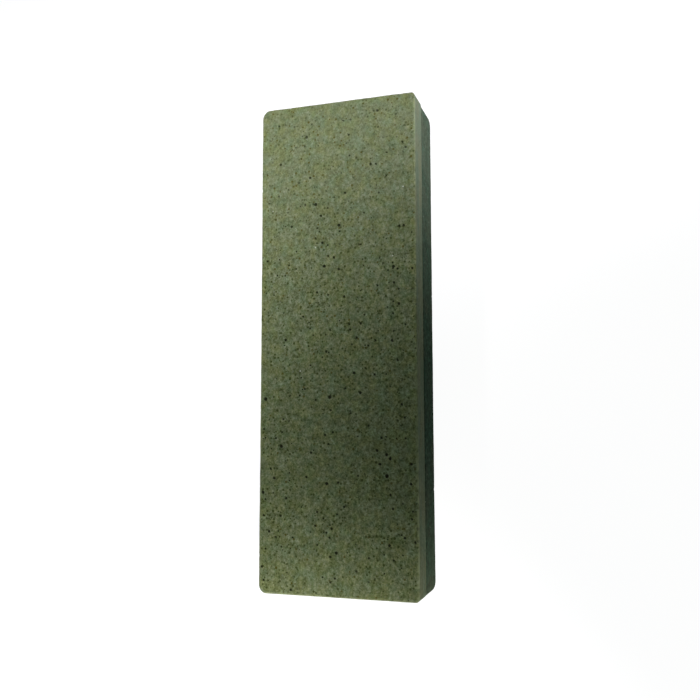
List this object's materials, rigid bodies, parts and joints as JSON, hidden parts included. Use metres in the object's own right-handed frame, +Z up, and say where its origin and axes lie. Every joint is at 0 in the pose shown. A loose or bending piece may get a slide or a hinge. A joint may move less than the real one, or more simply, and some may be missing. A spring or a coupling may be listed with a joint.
{
  "type": "sharpening whetstone",
  "caption": "Flat bench whetstone of two bonded abrasive layers, a thin light speckled fine layer on a thicker dark coarse layer, with softly rounded corners.",
  "frame": {"origin": "middle of the underside, the coarse face that rests on the bench", "axes": "+X along the length, +Y across the width, +Z up through the thickness, from the coarse face to the fine face"},
  "size_m": [0.18, 0.06, 0.025],
  "materials": {
    "coarse_abrasive": "matte",
    "bond_adhesive": "matte",
    "fine_abrasive": "matte"
  },
  "bodies": {
    "root": {"coarse_layer": "coarse_abrasive", "bond_layer": "bond_adhesive", "fine_layer": "fine_abrasive"}
  },
  "joints": []
}
